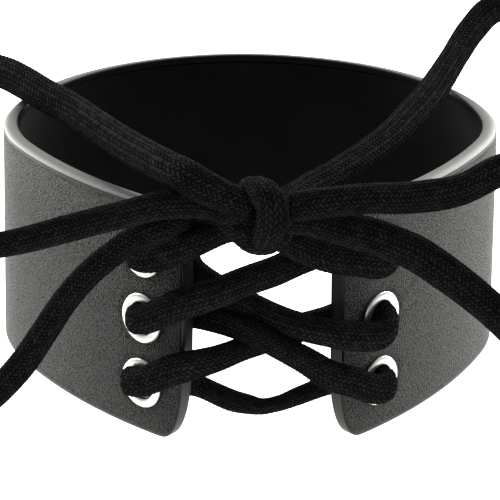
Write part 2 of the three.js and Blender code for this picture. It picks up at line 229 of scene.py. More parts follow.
# The lacing's stretches between the eyelets: x, y, z and the width to which the soft lace flattens there
KNOT_TO_LEFT_TOP = (
    (-1.4, -66, 27.7, 4.6), (-4.8, -63.5, 24.8, 4.6), (-9.2, -62, 22.8, 4.8), (-13.6, -62.2, 21, 5.4),
    (-18.3, -60.8, 18.4, 6.1),
)
LEFT_TOP_TO_RIGHT_MIDDLE = (
    (-14.2, -50.5, 9.9, 6.2), (-10.2, -52.3, 7.4, 6), (-5.1, -53.6, 4.9, 5.8), (-0.6, -54.6, 2.9, 5.7),
    (4.2, -58.2, 2.1, 5.6), (9, -61.2, 1.7, 5.6), (13.6, -62.2, 1.1, 5.8), (17, -61.3, 0.1, 6.1),
)
RIGHT_MIDDLE_TO_LEFT_BOTTOM = (
    (13.5, -50.5, -1.2, 6), (8.5, -52.4, -1.8, 5.8), (4, -53.2, -3.2, 5.4), (-0.1, -53.8, -4.4, 5.1),
    (-4.6, -56.5, -4.9, 4.7), (-9.7, -60.3, -5.2, 5.3), (-14.1, -62.2, -5.6, 6), (-18.1, -60.8, -7.2, 6.3),
)
LEFT_BOTTOM_TO_RIGHT_BOTTOM = (
    (-12.9, -48.6, -16.8, 4.5), (-6, -49, -20, 4.4), (-2.6, -49.1, -20.9, 4), (0.4, -49.2, -21.4, 3.3),
    (4.2, -49.1, -20.7, 3.2), (7.5, -49, -19.4, 3.6), (14, -48.6, -16.8, 4.3),
)
RIGHT_BOTTOM_TO_LEFT_MIDDLE = (
    (17.9, -60.8, -10.3, 6.2), (13.5, -62.2, -8.3, 6.1), (8.6, -62, -5.1, 5.5), (2.7, -60.4, -2.3, 5.1),
    (-2.6, -57.6, -0.5, 5.1), (-7.7, -54.2, 0.4, 5.7), (-13.5, -50.5, 0.6, 6.1),
)
LEFT_MIDDLE_TO_RIGHT_TOP = (
    (-17.5, -61.3, 7, 6.3), (-13.5, -62.2, 8.8, 6.3), (-9, -61.8, 10.2, 6.1), (-3.5, -60.8, 12.1, 6),
    (2.1, -59.2, 13.5, 6.1), (7.7, -54.8, 14.3, 6.3), (13.7, -49.8, 14.5, 6.3),
)
RIGHT_TOP_TO_KNOT = (
    (18, -60.8, 16.2, 6.2), (12.7, -62.6, 17.8, 6.3), (7.9, -63, 19.7, 6.3), (3.4, -63.5, 22.3, 5.8),
    (-0.1, -65, 25.9, 5),
)

# The knot: a turn of the lace over its front, the stretch that goes under it, and one inside it
KNOT_WRAP = (
    (-2.5, -68.5, 34.4, 6), (-0.8, -72.5, 34.4, 6.1), (0.3, -75, 33, 6.1), (0.4, -75.6, 30.7, 6.1),
    (-0.1, -74.6, 28.1, 5.8), (-1.2, -71.5, 25.3, 5.2), (-2.3, -67, 23.4, 5.2), (-3, -62.5, 23.1, 5.6),
    (-3.3, -60, 25.1, 6), (-3.3, -60.8, 28.4, 6), (-3.2, -64, 31.8, 6),
)
KNOT_UNDER = (
    (-7.7, -65, 26.8, 4.8), (-6.2, -68, 26.5, 5), (-4.7, -70, 25.7, 5.2), (-2.9, -71, 24.7, 5.3),
    (-0.9, -70.5, 24.2, 5.2), (1.1, -68.5, 24.2, 5), (2.9, -65.5, 24.5, 4.6),
)
KNOT_INSIDE = (
    (-8.6, -66.5, 29.2, 5.4), (-5.2, -68.6, 28.9, 6), (-1.6, -69.6, 28.8, 6), (2, -68.4, 29, 6),
    (5.4, -66.4, 29.2, 5.4),
)

# Width and thickness of the free stretches, at shares of their length from the knot
LOOP_LEFT_SIZES = (
    (0, 5.6, 4.4), (0.02, 6.2, 4.4), (0.04, 6.7, 4.4), (0.08, 6.5, 4.4), (0.15, 6.9, 4.4), (0.22, 7.1, 4.4),
    (0.29, 7.5, 4.3), (0.35, 7.6, 4.5), (0.41, 7.7, 4.6), (0.5, 6.4, 4.8), (0.8, 5.4, 4.8), (0.85, 5, 4.8),
    (0.88, 5.3, 4.8), (0.93, 5.3, 4.8), (0.96, 5.6, 4.6), (1, 5.4, 4.6),
)
LOOP_RIGHT_SIZES = (
    (0, 5.2, 4.6), (0.08, 5.3, 4.6), (0.14, 5.9, 4.6), (0.2, 6.6, 4.6), (0.26, 6.9, 4.6), (0.32, 6.5, 4.6),
    (0.39, 7.2, 4.5), (0.6, 6.4, 4.8), (0.85, 6.6, 4.8), (0.9, 6, 4.8), (0.92, 6.3, 4.7), (0.95, 5.9, 4.6),
    (1, 5.8, 4.6),
)
END_LEFT_SIZES = ((0, 5.1, 4.6), (0.45, 5.1, 4.6), (0.65, 5.4, 4.8), (0.75, 5.7, 4.8), (1, 5.7, 4.9))
END_RIGHT_SIZES = (
    (0, 6.2, 4.6), (0.2, 6.7, 4.6), (0.4, 7.1, 4.5), (0.5, 7, 4.5), (0.65, 6.6, 4.6), (1, 6.6, 4.6),
)


def place_camera():
    """Sets up the camera and gives the direction from the collar toward it."""
    back = Vector((
        math.sin(CAMERA_YAW) * math.cos(CAMERA_ELEVATION),
        -math.cos(CAMERA_YAW) * math.cos(CAMERA_ELEVATION),
        math.sin(CAMERA_ELEVATION),
    ))
    right = (-back).cross(Vector((0, 0, 1))).normalized()
    up = right.cross(-back)
    rolled_right = right * math.cos(CAMERA_ROLL) + up * math.sin(CAMERA_ROLL)
    rolled_up = up * math.cos(CAMERA_ROLL) - right * math.sin(CAMERA_ROLL)
    data = bpy.data.cameras.new("camera")
    data.lens = CAMERA_LENS
    data.clip_start = 0.01
    camera = bpy.data.objects.new("camera", data)
    turn = Matrix((rolled_right, rolled_up, back)).transposed().to_4x4()
    camera.matrix_world = Matrix.Translation(CAMERA_TARGET + back * CAMERA_DISTANCE) @ turn
    bpy.context.scene.collection.objects.link(camera)
    bpy.context.scene.camera = camera
    return back


class Nodes:
    """Builds one node material, with short names for the nodes used most."""

    def __init__(self, name):
        self.material = bpy.data.materials.new(name)
        self.material.use_nodes = True
        self.tree = self.material.node_tree
        self.shader = self.tree.nodes["Principled BSDF"]

    def add(self, kind, **settings):
        node = self.tree.nodes.new(kind)
        for key, value in settings.items():
            setattr(node, key, value)
        return node

    def feed(self, socket, value):
        if isinstance(value, bpy.types.NodeSocket):
            self.tree.links.new(value, socket)
        else:
            socket.default_value = value

    def math(self, operation, *values):
        node = self.add("ShaderNodeMath", operation=operation)
        for socket, value in zip(node.inputs, values):
            self.feed(socket, value)
        return node.outputs[0]

    def spread(self, value, from_low, from_high, low, high):
        node = self.add("ShaderNodeMapRange")
        for socket, number in zip(node.inputs, (value, from_low, from_high, low, high)):
            self.feed(socket, number)
        return node.outputs[0]

    def noise(self, vector, scale, detail=2.0, roughness=0.5):
        node = self.add("ShaderNodeTexNoise")
        self.feed(node.inputs["Vector"], vector)
        node.inputs["Scale"].default_value = scale
        node.inputs["Detail"].default_value = detail
        node.inputs["Roughness"].default_value = roughness
        return node.outputs[0]

    def ramp(self, value, shades, warmth=0.0):
        node = self.add("ShaderNodeValToRGB")
        self.feed(node.inputs[0], value)
        while len(node.color_ramp.elements) < len(shades):
            node.color_ramp.elements.new(0.5)
        for element, (place, level) in zip(node.color_ramp.elements, shades):
            element.position = place
            element.color = grey(level, warmth)
        return node.outputs[0]

    def bump(self, height, strength, distance):
        node = self.add("ShaderNodeBump")
        node.inputs["Strength"].default_value = strength
        node.inputs["Distance"].default_value = distance
        self.feed(node.inputs["Height"], height)
        return node.outputs[0]

    def object_place(self):
        return self.add("ShaderNodeTexCoord").outputs["Object"]

    def attribute(self, name):
        return self.add("ShaderNodeAttribute", attribute_name=name).outputs["Fac"]

    def set(self, **sockets):
        for name, value in sockets.items():
            self.feed(self.shader.inputs[name.replace("_", " ")], value)
        return self.material


def grey(level, warmth=0.0):
    return (level * (1 + warmth), level, level * (1 - warmth), 1)


def braid_material():
    """Braid with rows of V-shaped stitches along it, their tops painted lighter and the grooves between them
    painted darker. The tube's UV map counts stitches around and along.
    """
    n = Nodes("braided_lace")
    uv = n.add("ShaderNodeSeparateXYZ")
    n.feed(uv.inputs[0], n.add("ShaderNodeUVMap", uv_map="stitches").outputs[0])
    arms = n.math("MULTIPLY", uv.outputs[0], 2.0)
    aside = n.math("PINGPONG", arms, 1.0)
    offset = n.math("MULTIPLY", n.math("FLOORED_MODULO", n.math("FLOOR", arms), 2.0), 0.5)
    place = n.object_place()
    uneven = n.math("MULTIPLY", n.noise(place, WANDER_SCALE, 2, 0.6), STITCH_WANDER)
    drawn = n.math("ADD", n.math("ADD", uv.outputs[1], offset), uneven)
    along = n.math("MULTIPLY_ADD", aside, STITCH_LEAN, drawn)
    arm = n.math("SINE", n.math("MULTIPLY", n.math("FRACT", arms), math.pi))
    stitch = n.math("SINE", n.math("MULTIPLY", n.math("FRACT", along), math.pi))
    raised = n.math("MULTIPLY_ADD", arm, ARM_SHARE, 1 - ARM_SHARE)
    yarn = n.math("POWER", n.math("MULTIPLY", stitch, raised), YARN_POWER)
    cells = n.add("ShaderNodeCombineXYZ")
    n.feed(cells.inputs[0], n.math("FLOOR", arms))
    n.feed(cells.inputs[1], n.math("FLOOR", along))
    lot = n.add("ShaderNodeTexWhiteNoise", noise_dimensions="2D")
    n.feed(lot.inputs["Vector"], cells.outputs[0])
    fuzz = n.noise(place, FUZZ_SCALE, 2, 0.6)
    height = n.math("ADD", fuzz, n.math("MULTIPLY", yarn, YARN_HEIGHT))
    # Painted light and shade: the colour follows the stitches' height, tops lighter and grooves darker; lot
    # adds random tone per stitch
    lot_and_painted_shading = n.math("MULTIPLY_ADD", lot.outputs["Value"], LOT_SHADE, n.math("MULTIPLY", height, YARN_PAINTED_SHADING))
    tone = n.math("MULTIPLY_ADD", n.noise(place, BLOTCH_SCALE), BLOTCH_SHADE, lot_and_painted_shading)
    color = n.ramp(tone, BRAID_SHADES, WARMTH)
    n.shader.inputs["Roughness"].default_value = 0.85
    n.shader.inputs["Specular IOR Level"].default_value = 0.0
    n.shader.inputs["Sheen Weight"].default_value = 0.006
    n.shader.inputs["Sheen Roughness"].default_value = 0.1
    n.shader.inputs["Sheen Tint"].default_value = BRAID_SHEEN
    return n.set(Base_Color=color, Normal=n.bump(height, 0.9, BRAID_BUMP))


def leather_material():
    """Black leather with a fine pebble grain. The mesh says where it is smooth, and where shade is painted:
    in the crease under the rim, on the inner rim and near the free ends.
    """
    n = Nodes("band_leather")
    place = n.object_place()
    cells = n.add("ShaderNodeTexVoronoi")
    n.feed(cells.inputs["Vector"], place)
    cells.inputs["Scale"].default_value = PEBBLE_SCALE
    pebble = n.spread(cells.outputs["Distance"], 0.1, 0.8, 0.66, 0.34)
    fine = n.noise(place, FINE_GRAIN_SCALE, 1)
    grain = n.math("MULTIPLY_ADD", fine, 1 - PEBBLE_SHARE, n.math("MULTIPLY", pebble, PEBBLE_SHARE))
    smooth = n.attribute("smooth")
    grained = n.math("MULTIPLY", grain, n.math("SUBTRACT", 1.0, smooth))
    cloud = n.noise(place, CLOUD_SCALE, 3, 0.55)
    tone = n.math("MULTIPLY_ADD", grained, 1 - CLOUD_SHADE, n.math("MULTIPLY", cloud, CLOUD_SHADE))
    # Painted shade: the inner rim and the free ends are drawn darker, matter and with less shine
    painted_shade = n.attribute("painted_shade")
    worn = n.ramp(tone, LEATHER_SHADES, WARMTH)
    color = n.add("ShaderNodeMix", data_type="RGBA")
    n.feed(color.inputs["Factor"], painted_shade)
    n.feed(color.inputs[6], worn)
    n.feed(color.inputs[7], grey(PAINTED_SHADE_GREY))
    untouched = n.spread(smooth, 0.0, 1.0, GRAIN_ROUGHNESS, SMOOTH_ROUGHNESS)
    rough = n.math("MAXIMUM", untouched, n.math("MULTIPLY", painted_shade, PAINTED_SHADE_ROUGHNESS))
    sheen_of_grain = n.spread(grain, 0.35, 0.65, *GRAIN_SHINE)
    on_grain = n.math("MULTIPLY", sheen_of_grain, n.math("SUBTRACT", 1.0, smooth))
    shine = n.math("ADD", on_grain, n.math("MULTIPLY", smooth, SMOOTH_SHINE))
    # Painted shade: less shine in the crease under the rim, and where shade is painted on the inner rim and
    # free ends
    shine = n.math("MULTIPLY", shine, n.spread(n.attribute("crease"), 0.0, 1.0, 1.0, CREASE_PAINTED_SHADE))
    shine = n.math("MULTIPLY", shine, n.spread(painted_shade, 0.0, 1.0, 1.0, PAINTED_SHADE_SHINE))
    normal = n.bump(grained, 1.0, LEATHER_BUMP)
    return n.set(Base_Color=color.outputs[2], Roughness=rough, Specular_IOR_Level=shine, Normal=normal)


def lining_material():
    """Matte black nap."""
    n = Nodes("lining_nap")
    place = n.object_place()
    nap = n.noise(place, NAP_SCALE, 3, 0.65)
    cloud = n.noise(place, NAP_CLOUD_SCALE)
    tone = n.math("MULTIPLY_ADD", nap, NAP_SHARE, n.math("MULTIPLY", cloud, 1 - NAP_SHARE))
    color = n.ramp(tone, NAP_SHADES)
    n.shader.inputs["Roughness"].default_value = 1.0
    n.shader.inputs["Specular IOR Level"].default_value = NAP_SHINE
    return n.set(Base_Color=color, Normal=n.bump(nap, 0.5, NAP_BUMP))


def metal_material():
    """Bright nickel with a faint haze."""
    n = Nodes("eyelet_nickel")
    haze = n.noise(n.object_place(), HAZE_SCALE, 3, 0.6)
    color = n.ramp(haze, NICKEL_SHADES, WARMTH)
    n.shader.inputs["Metallic"].default_value = 1.0
    rough = n.spread(haze, 0.3, 0.7, *NICKEL_ROUGHNESS)
    return n.set(Base_Color=color, Roughness=rough)


def floor_material():
    n = Nodes("studio_floor")
    color = n.ramp(n.noise(n.object_place(), FLOOR_CLOUD_SCALE), FLOOR_SHADES)
    n.shader.inputs["Roughness"].default_value = 0.9
    n.shader.inputs["Specular IOR Level"].default_value = 0.1
    return n.set(Base_Color=color)


def make_piece(name, points, faces, material, replaced, smooth=True):
    """A mesh piece from points in millimetres, on the object's one body, which stands for CAD nodes."""
    mesh = bpy.data.meshes.new(name)
    mesh.from_pydata((np.asarray(points) * MM).tolist(), [], faces)
    mesh.materials.append(material)
    mesh.polygons.foreach_set("use_smooth", [smooth] * len(mesh.polygons))
    mesh.update()
    piece = bpy.data.objects.new(name, mesh)
    bpy.context.scene.collection.objects.link(piece)
    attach(piece, "root")
    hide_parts(*replaced)
    return piece


def curve_points(rows, step, closed=False):
    """Evenly spaced rows on the centripetal Catmull-Rom curve through the given ones; a place comes first."""
    rows = np.asarray(rows, float)
    if closed:
        knots = np.vstack((rows[-1], rows, rows[0], rows[1]))
    else:
        knots = np.vstack((2 * rows[0] - rows[1], rows, 2 * rows[-1] - rows[-2]))
    dense = []
    share = np.linspace(0, 1, CURVE_PARTS, endpoint=False)[:, None]
    for p0, p1, p2, p3 in zip(knots, knots[1:], knots[2:], knots[3:]):
        d1, d2, d3 = (math.sqrt(np.linalg.norm((b - a)[:3])) for a, b in ((p0, p1), (p1, p2), (p2, p3)))
        m1 = ((p1 - p0) / d1 - (p2 - p0) / (d1 + d2) + (p2 - p1) / d2) * d2
        m2 = ((p2 - p1) / d2 - (p3 - p1) / (d2 + d3) + (p3 - p2) / d3) * d2
        dense.append(
            p1 * (2 * share**3 - 3 * share**2 + 1)
            + m1 * (share**3 - 2 * share**2 + share)
            + p2 * (3 * share**2 - 2 * share**3)
            + m2 * (share**3 - share**2)
        )
    line = np.vstack((*dense, knots[-2][None]))
    run = np.concatenate(([0], np.cumsum(np.linalg.norm(np.diff(line[:, :3], axis=0), axis=1))))
    count = max(4, round(run[-1] / step))
    even = np.linspace(0, run[-1], count + 1)
    if closed:
        even = even[:-1]
    return np.stack([np.interp(even, run, column) for column in line.T], 1)


def unit(vectors):
    return vectors / np.linalg.norm(vectors, axis=-1, keepdims=True)


def tangents(line, closed=False):
    """Unit directions along a line. A closed line goes on from its last point to its first."""
    if closed:
        return unit(np.roll(line, -1, 0) - np.roll(line, 1, 0))
    return unit(np.gradient(line, axis=0))


def table_values(rows, count):
    """Columns of values for the stations of a stretch, from rows of a share of it and the values there."""
    rows = np.asarray(rows, float)
    at = np.linspace(0, 1, count)
    return [np.interp(at, rows[:, 0], rows[:, k]) for k in range(1, rows.shape[1])]


def stitch_count(line, closed):
    """Stitches along a line up to each ring, and to the end of the last one.

    Runs that slant away from the front are drawn taut, so their stitches are longer.
    """
    if closed:
        whole = round(len(line) * LACE_STEP / STITCH_LENGTH)
        return np.linspace(0, whole, len(line) + 1)
    slant = np.linalg.norm(np.cross(tangents(line), TOWARD_FRONT), axis=1)
    return np.concatenate(([0], np.cumsum(np.clip(slant, LEAST_SLANT, 1)))) * LACE_STEP / STITCH_LENGTH


def stitch_relief(line, closed):
    """Height of the stitches over every point of a tube, near where the braid's material draws them."""
    u = np.arange(LACE_SIDES)[None] * STITCHES_AROUND / LACE_SIDES
    v = stitch_count(line, closed)[:-1, None]
    aside = 1 - np.abs(2 * (u % 1) - 1)
    stitch = np.sin(math.pi * ((v + STITCH_LEAN * aside) % 1))
    return stitch * (1 - ARM_CROWN + ARM_CROWN * np.sin(math.pi * (u % 1))) - STITCH_MEAN


def lace_rings(line, across, widths, thicknesses, closed):
    """Oval sections along a line, raised by the stitches. across says which way the wide side lies."""
    along = tangents(line, closed)
    wide = unit(across - along * np.sum(across * along, 1, keepdims=True))
    thin = np.cross(along, wide)
    angle = np.linspace(0, 2 * math.pi, LACE_SIDES, endpoint=False)
    squash = 2 / LACE_SQUARENESS
    c = np.sign(np.cos(angle)) * np.abs(np.cos(angle)) ** squash
    s = np.sign(np.sin(angle)) * np.abs(np.sin(angle)) ** squash
    spoke = (
        wide[:, None] * (c[None, :, None] * (widths / 2)[:, None, None])
        + thin[:, None] * (s[None, :, None] * (thicknesses / 2)[:, None, None])
    )
    return line[:, None] + spoke + unit(spoke) * (STITCH_RELIEF * stitch_relief(line, closed))[..., None]


def tube_faces(rings, sides, closed):
    """Quads between rings of points. A closed tube goes on from its last ring to its first."""
    ring = np.arange(rings if closed else rings - 1)[:, None]
    side = np.arange(sides)[None]
    after, turn = (ring + 1) % rings, (side + 1) % sides
    corners = (ring * sides + side, ring * sides + turn, after * sides + turn, after * sides + side)
    return np.stack(corners, 2).reshape(-1, 4)


def tube_stitches(line, closed):
    """UV of each face corner, in stitches around and along."""
    rows = stitch_count(line, closed)
    if not closed:
        rows = rows[:-1]
    start, end = rows[:-1, None], rows[1:, None]
    u = np.arange(LACE_SIDES)[None] * STITCHES_AROUND / LACE_SIDES + 0 * start
    start, end = start + 0 * u, end + 0 * u
    wide = STITCHES_AROUND / LACE_SIDES
    corners = ((u, start), (u + wide, start), (u + wide, end), (u, end))
    return np.stack([np.stack(c, 2) for c in corners], 2).reshape(-1, 2)


def lace_piece(name, strands, material, replaced):
    """One mesh of one or more lace strands, each (line, across, widths, thicknesses, closed)."""
    points, faces, stitches = [], [], []
    start = 0
    for line, across, widths, thicknesses, closed in strands:
        rings = lace_rings(line, across, widths, thicknesses, closed)
        points.append(rings.reshape(-1, 3))
        faces.extend((tube_faces(len(line), LACE_SIDES, closed) + start).tolist())
        stitches.append(tube_stitches(line, closed))
        if not closed:
            faces.append(list(range(start + LACE_SIDES - 1, start - 1, -1)))
            last = start + (len(line) - 1) * LACE_SIDES
            faces.append(list(range(last, last + LACE_SIDES)))
            stitches.append(np.zeros((2 * LACE_SIDES, 2)))
        start += len(line) * LACE_SIDES
    piece = make_piece(name, np.vstack(points), faces, material, replaced)
    layer = piece.data.uv_layers.new(name="stitches")
    layer.data.foreach_set("uv", np.vstack(stitches).ravel())
    return piece


def facing(line):
    """Wide-side directions that turn the flat side of a strand toward the front."""
    return np.cross(tangents(line), np.broadcast_to(TOWARD_FRONT, line.shape))


def rounded_end(widths, thicknesses, line):
    """Draws the last sections in, so that a cut end is softly rounded."""
    left = np.linalg.norm(line - line[-1], axis=1)
    close = np.sqrt(np.clip(1 - (1 - np.clip(left / BARE_END_REACH, 0, 1)) ** 2, BARE_END_LEAST, 1))
    return widths * close, thicknesses * close


def free_lace(name, rows, sizes, far_end, material):
    """A free stretch of lace, with its flat side toward the front."""
    line = curve_points(rows, LACE_STEP)
    widths, thicknesses = table_values(sizes, len(line))
    if far_end == "bare":
        widths, thicknesses = rounded_end(widths, thicknesses, line)
    piece = lace_piece(name + "_braid", [(line, facing(line), widths, thicknesses, False)], material, [name])


def plan_at(distance):
    """Point and heading of the band's plan at distances from the back's middle, before it is centred."""
    distance = np.asarray(distance, float)
    x, y, heading = np.zeros_like(distance), np.zeros_like(distance), np.zeros_like(distance)
    left = distance.copy()
    for radius, length in PLAN_ARCS:
        run = np.clip(left, 0, length)
        turn = run / radius
        chord = 2 * radius * np.sin(turn / 2)
        x += chord * np.cos(heading - turn / 2)
        y += chord * np.sin(heading - turn / 2)
        heading -= turn
        left -= run
    return x, y, heading


HALF_DEPTH = -float(plan_at(HALF_LENGTH)[1]) / 2


def wall_point(side, from_end, z, out):
    """Points of the wall: side is -1 on the left, from_end runs back from the free end, out is outward."""
    x, y, heading = plan_at(HALF_LENGTH - np.asarray(from_end, float))
    away = out + BAND_FLARE * (0.5 - np.asarray(z, float) / BAND_HEIGHT)
    return np.stack(np.broadcast_arrays(
        side * (x - np.sin(heading) * away),
        y + HALF_DEPTH + np.cos(heading) * away,
        np.asarray(z, float),
    ), -1)


def wall_normal(side, from_end):
    """Outward direction of the wall there."""
    _, _, heading = plan_at(HALF_LENGTH - from_end)
    return unit(np.array((-side * math.sin(heading), math.cos(heading), BAND_FLARE / BAND_HEIGHT)))


def end_half_height(own, half_height):
    """Half the height of a wall piece at a distance from its own free end."""
    left = np.clip(1 - own / END_REACH, 0, 1)
    return half_height * (1 - left**END_SQUARENESS) ** (1 / END_SQUARENESS)


def wall_stations(start, step):
    """Distances from the free end, close together where the outline curves."""
    curved = start + END_REACH * END_SHARES
    straight = np.linspace(start + END_REACH, HALF_LENGTH, round((HALF_LENGTH - start - END_REACH) / step))
    return np.concatenate((curved, straight))


def loft_faces(rings, count):
    """Faces of a closed solid from so many rings of so many points each."""
    faces = tube_faces(rings, count, False).tolist()
    faces.append(list(range(count - 1, -1, -1)))
    last = (rings - 1) * count
    faces.append(list(range(last, last + count)))
    return faces


def crease_share(below_rim):
    """1 in the middle of the soft crease under the rim, at a distance below the rim's top."""
    return np.exp(-(((below_rim - CREASE_DROP) / CREASE_WIDTH) ** 2))


def band_ring(side, own):
    """Leather section at a distance from the free end, with where it is smooth, where shade is painted in its
    crease, and where shade is painted on the inner rim and near the free end.

    It runs up the outer face, over the rim, down the inner face with the lining's recess, and round below.
    """
    half = float(end_half_height(own, BAND_HEIGHT / 2))
    drawn_in = END_CORNER - math.sqrt(END_CORNER**2 - max(0.0, END_CORNER - own) ** 2)
    reach = BAND_WALL / 2 - drawn_in
    thinner = 2 * reach / BAND_WALL
    low, high = RIM_INNER[1] - half, half - RIM_OUTER[1]
    face_z = low + (FACE_SHARES + 1) / 2 * (high - low)
    crease = crease_share(half - face_z) * min(1.0, own / END_REACH)
    outer_out = reach - thinner * RIM_OUTER[0] * (1 - np.cos(RIM_TURNS))
    outer_z = half - RIM_OUTER[1] * (1 - np.sin(RIM_TURNS))
    inner_out = -reach + thinner * RIM_INNER[0] * (1 - np.cos(RIM_TURNS))
    inner_z = half - RIM_INNER[1] * (1 - np.sin(RIM_TURNS))
    recessed = own > LINING_FROM_END - RECESS_GAP
    lip = BAND_HEIGHT / 2 - LINING_INSET + RECESS_GAP
    lip = float(end_half_height(own - LINING_FROM_END + RECESS_GAP, lip)) if recessed else 0.0
    floor = -reach + (LINING_THICKNESS + RECESS_GAP if recessed else 0.0)
    rows_out = np.concatenate((
        reach - CREASE_DEPTH * crease,
        outer_out[1:],
        inner_out[-2::-1],
        [-reach],
        np.full(len(INNER_SHARES), floor),
        [-reach],
        inner_out,
        -inner_out[-2:0:-1],
    ))
    rows_z = np.concatenate((
        face_z,
        outer_z[1:],
        inner_z[-2::-1],
        [lip],
        INNER_SHARES * lip,
        [-lip],
        -inner_z,
        -inner_z[-2:0:-1],
    ))
    in_back = 2 * np.clip(own / HALF_LENGTH - 0.5, 0, 1)
    rows_z = rows_z + BACK_RISE * in_back * np.clip(2 * rows_z / half - 1, 0, 1)
    below = half - np.abs(face_z)
    smooth = np.ones(len(rows_z))
    rim = np.clip((np.where(face_z > 0, CREASE_DROP, SMOOTH_BOTTOM) - below) / SMOOTH_FADE + 0.5, 0, 1)
    smooth[:len(face_z)] = np.maximum(rim, np.clip((SMOOTH_END - own) / (SMOOTH_END / 2), 0, 1))
    # Painted shade in the crease under the rim
    painted_crease_shade = np.zeros(len(rows_z))
    painted_crease_shade[:len(face_z)] = crease
    # Painted shade on the inner rim, on the cut face of a free end, and on the rims and the inner face near
    # it
    painted_shade = np.clip((TURNED_FROM * reach + rows_out) / (-TURNED_OVER * reach), 0, 1)
    painted_shade[:len(face_z)] = 0
    painted_shade = np.maximum(painted_shade, END_SHADE * np.clip(1 - own / END_SHADE_REACH, 0, 1))
    inside = END_SHADE * np.clip(INSIDE_SHADE - own / INSIDE_SHADE_REACH, 0, 1)
    painted_shade[len(face_z):] = np.maximum(painted_shade[len(face_z):], inside)
    from_end = own + END_SHIFT[side] * max(0.0, 1 - own / END_SHIFT_REACH)
    return wall_point(side, from_end, rows_z, rows_out - BAND_WALL / 2), smooth, painted_crease_shade, painted_shade


def punch(piece):
    """Cuts the six eyelet holes through a wall piece."""
    points, faces = [], []
    angle = np.linspace(0, 2 * math.pi, PUNCH_SIDES, endpoint=False)
    index = np.arange(PUNCH_SIDES)
    after = (index + 1) % PUNCH_SIDES
    for side, row in EYELETS:
        centre = wall_point(side, EYELET_FROM_END, -row * EYELET_PITCH, -BAND_WALL / 2)
        normal = wall_normal(side, EYELET_FROM_END)
        across = unit(np.cross(normal, (0, 0, 1)))
        up = np.cross(across, normal)
        start = len(points) * PUNCH_SIDES
        circle = EYELET_CUT * (np.cos(angle)[:, None] * across + np.sin(angle)[:, None] * up)
        for depth in (-PUNCH_DEPTH, PUNCH_DEPTH):
            points.append(centre + circle + normal * depth)
        wall = np.stack((index, index + PUNCH_SIDES, after + PUNCH_SIDES, after), 1)
        faces.extend((wall + start).tolist())
        faces.append((start + index).tolist())
        faces.append((start + PUNCH_SIDES + index[::-1]).tolist())
    mesh = bpy.data.meshes.new("punch")
    mesh.from_pydata((np.vstack(points) * MM).tolist(), [], faces)
    cutter = bpy.data.objects.new("punch", mesh)
    bpy.context.scene.collection.objects.link(cutter)
    cut = piece.modifiers.new("punch", "BOOLEAN")
    cut.operation = "DIFFERENCE"
    cut.solver = "EXACT"
    cut.object = cutter
    bpy.context.view_layer.update()
    evaluated = piece.evaluated_get(bpy.context.evaluated_depsgraph_get())
    made = bpy.data.meshes.new_from_object(evaluated)
    piece.modifiers.clear()
    old = piece.data
    piece.data = made
    bpy.data.meshes.remove(old)
    bpy.data.objects.remove(cutter)
    bpy.data.meshes.remove(mesh)


def make_band(material):
    """The leather band with its dents under the eyelets, and the three values that its material reads: where
    it is smooth, and two masks of painted shade.
    """
    stations = wall_stations(0, BAND_STEP)
    places = [(-1, s) for s in stations] + [(1, s) for s in stations[-2::-1]]
    rings, smooth, painted_crease_shade, painted_shade = zip(*(band_ring(side, float(own)) for side, own in places))
    points = np.vstack(rings)
    for side, row in EYELETS:
        centre = wall_point(side, EYELET_FROM_END, -row * EYELET_PITCH, 0)
        normal = wall_normal(side, EYELET_FROM_END)
        away = points - centre
        height = away @ normal
        distance = np.linalg.norm(away - height[:, None] * normal, axis=1)
        near = (height > -DENT_SKIN) & (distance < DENT_REACH)
        dent = EYELET_DENT / (1 + np.exp((distance - EYELET_FLANGE - DENT_EDGE) / DENT_FADE))
        points[near] -= dent[near, None] * normal
    faces = loft_faces(len(rings), len(rings[0]))
    piece = make_piece("band_leather", points, faces, material, ["collar_band"])
    for name, values in (("smooth", smooth), ("crease", painted_crease_shade), ("painted_shade", painted_shade)):
        attribute = piece.data.attributes.new(name, "FLOAT", "POINT")
        attribute.data.foreach_set("value", np.concatenate(values).astype(np.float32))
    punch(piece)


def make_lining(material):
    stations = wall_stations(LINING_FROM_END, LINING_STEP)
    places = [(-1, s) for s in stations] + [(1, s) for s in stations[-2::-1]]
    rings = []
    for side, from_end in places:
        half = float(end_half_height(from_end - LINING_FROM_END, BAND_HEIGHT / 2 - LINING_INSET))
        z = np.linspace(-half, half, LINING_ROWS)
        rows_z = np.concatenate((z, z[::-1]))
        out = np.repeat((LINING_THICKNESS - BAND_WALL, -BAND_WALL), LINING_ROWS)
        rings.append(wall_point(side, float(from_end), rows_z, out))
    points, faces = np.vstack(rings), loft_faces(len(rings), 2 * LINING_ROWS)
    piece = make_piece("lining_nap", points, faces, material, ["collar_lining"], smooth=False)
    punch(piece)


def eyelet_profile():
    """Radius and height of the eyelet's skin: washer inside, barrel, rolled flange outside."""
    front, back = -EYELET_DENT + METAL_GAP, -BAND_WALL
    roll = (EYELET_FLANGE - EYELET_HOLE) / 2
    narrow = roll - WASHER_NARROWER
    middle = EYELET_HOLE + roll
    crown, washer = [], []
    for angle in np.linspace(0, math.pi, PROFILE_POINTS):
        out, up = math.cos(angle), math.sin(angle)
        crown.append((middle - roll * out, front + FLANGE_RISE * up**FLANGE_ROUNDNESS))
        washer.append((middle + narrow * out, back - METAL_GAP - WASHER_RISE * up**WASHER_ROUNDNESS))
    return [(EYELET_BARREL, back), *washer, (EYELET_HOLE, back), *crown, (EYELET_BARREL, front)]


